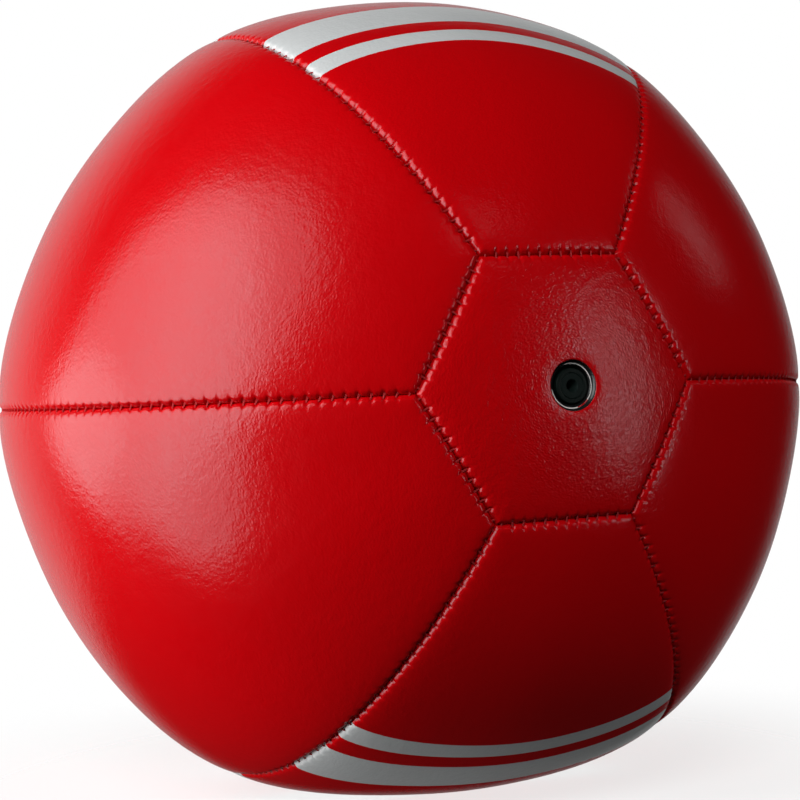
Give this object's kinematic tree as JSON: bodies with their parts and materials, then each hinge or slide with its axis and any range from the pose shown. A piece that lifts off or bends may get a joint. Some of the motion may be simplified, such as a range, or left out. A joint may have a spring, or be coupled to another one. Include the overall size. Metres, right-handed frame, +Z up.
{
  "type": "reflex ball",
  "caption": "Inflatable reflex ball with a soft hexagonal waist that makes it bounce askew: stitched leather-look panels over a lined bladder, with a needle valve in one end panel.",
  "frame": {"origin": "centre of the ball", "axes": "-Y along the ball's own axis, out through the valve; +X through a side seam at the waist; +Z up through the middle of the first side panel"},
  "size_m": [0.2234, 0.19, 0.2178],
  "materials": {
    "cover": "red glossy synthetic leather with a fine crinkled grain",
    "lining": "bonded woven cloth",
    "thread": "waxed polyester",
    "bladder": "moulded butyl",
    "valve": "moulded black"
  },
  "bodies": {
    "root": {"valve_panel": "cover", "back_panel": "cover", "side_panel_1": "cover", "side_panel_2": "cover", "side_panel_3": "cover", "side_panel_4": "cover", "side_panel_5": "cover", "side_panel_6": "cover", "valve_panel_lining": "lining", "back_panel_lining": "lining", "side_lining_1": "lining", "side_lining_2": "lining", "side_lining_3": "lining", "side_lining_4": "lining", "side_lining_5": "lining", "side_lining_6": "lining", "side_thread_1": "thread", "side_thread_2": "thread", "side_thread_3": "thread", "side_thread_4": "thread", "side_thread_5": "thread", "side_thread_6": "thread", "valve_panel_thread_1": "thread", "valve_panel_thread_2": "thread", "valve_panel_thread_3": "thread", "valve_panel_thread_4": "thread", "valve_panel_thread_5": "thread", "valve_panel_thread_6": "thread", "back_panel_thread_1": "thread", "back_panel_thread_2": "thread", "back_panel_thread_3": "thread", "back_panel_thread_4": "thread", "back_panel_thread_5": "thread", "back_panel_thread_6": "thread", "bladder": "bladder", "valve_body": "valve", "valve_core": "valve"}
  },
  "joints": []
}
